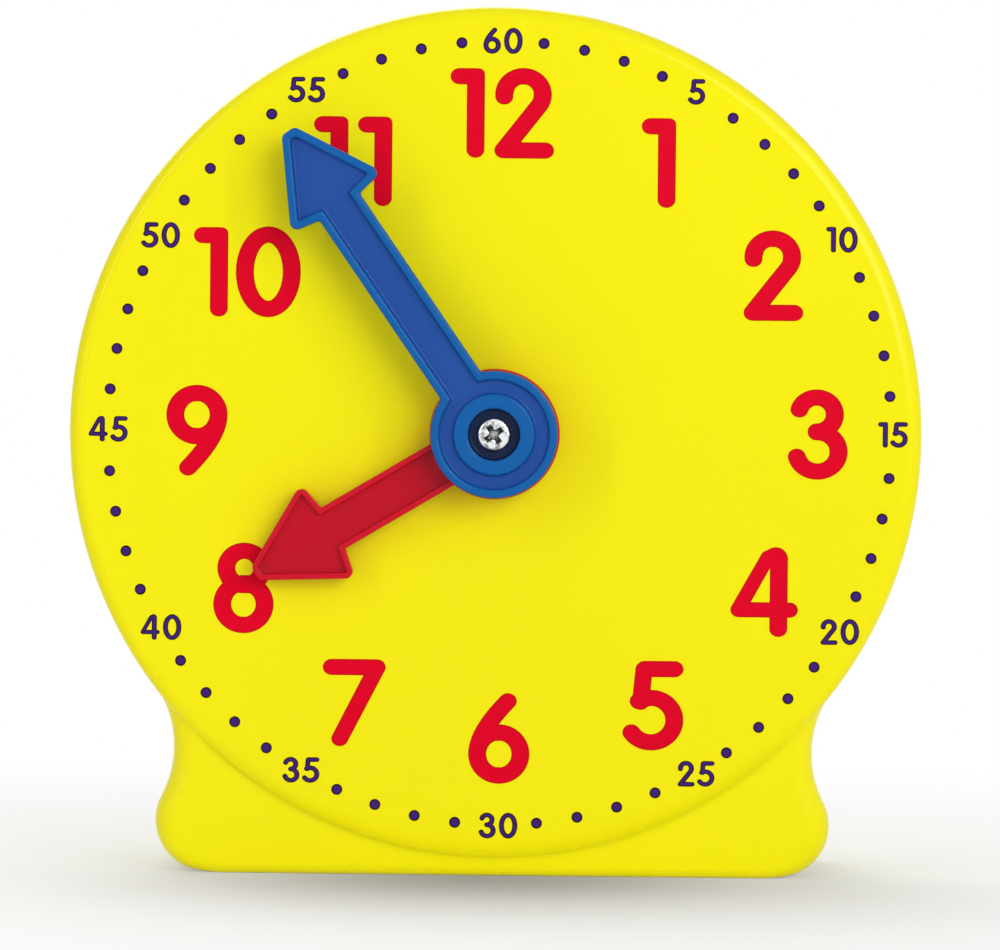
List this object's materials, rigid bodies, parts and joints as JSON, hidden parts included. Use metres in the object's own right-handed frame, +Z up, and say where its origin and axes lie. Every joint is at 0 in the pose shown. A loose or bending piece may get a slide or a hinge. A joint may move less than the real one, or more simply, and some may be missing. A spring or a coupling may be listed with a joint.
{
  "type": "geared teaching clock",
  "caption": "Free-standing round teaching clock face on a waisted foot; turning the minute hand drives the hour hand through a hidden gear train.",
  "frame": {"origin": "middle of the flat base, on the surface it stands on", "axes": "+X to the viewer's right as the dial is read, +Y from the dial to the back, +Z up"},
  "size_m": [0.1, 0.0377, 0.102],
  "materials": {
    "yellow_plastic": "moulded, glossy",
    "blue_plastic": "moulded, semi-gloss",
    "red_plastic": "moulded, semi-gloss",
    "white_plastic": "moulded, satin",
    "plated_steel": "bright plated",
    "spring_steel": "rolled strip"
  },
  "bodies": {
    "case": {"front_shell": "yellow_plastic", "rear_cover": "yellow_plastic", "cover_screws": "plated_steel", "friction_washer": "spring_steel"},
    "minute_works": {"minute_hand": "blue_plastic", "hand_screw": "plated_steel", "minute_arbor": "white_plastic"},
    "hour_works": {"hour_hand": "red_plastic", "hour_wheel": "white_plastic"},
    "idler": {"idler_wheel": "white_plastic"}
  },
  "joints": [
    {"name": "minute_turn", "type": "hinge", "parent": "case", "child": "minute_works", "pos_m": [0, -0.016, 0.052], "axis": [0, 1, 0], "continuous": true},
    {"name": "idler_turn", "type": "hinge", "parent": "case", "child": "idler", "pos_m": [0, -0.006, 0.076], "axis": [0, 1, 0], "continuous": true},
    {"name": "hour_turn", "type": "hinge", "parent": "case", "child": "hour_works", "pos_m": [0, -0.016, 0.052], "axis": [0, 1, 0], "continuous": true}
  ],
  "couplings": [
    {"joint": "idler_turn", "follows": "minute_turn", "ratio": -0.33333},
    {"joint": "hour_turn", "follows": "minute_turn", "ratio": 0.083333}
  ]
}
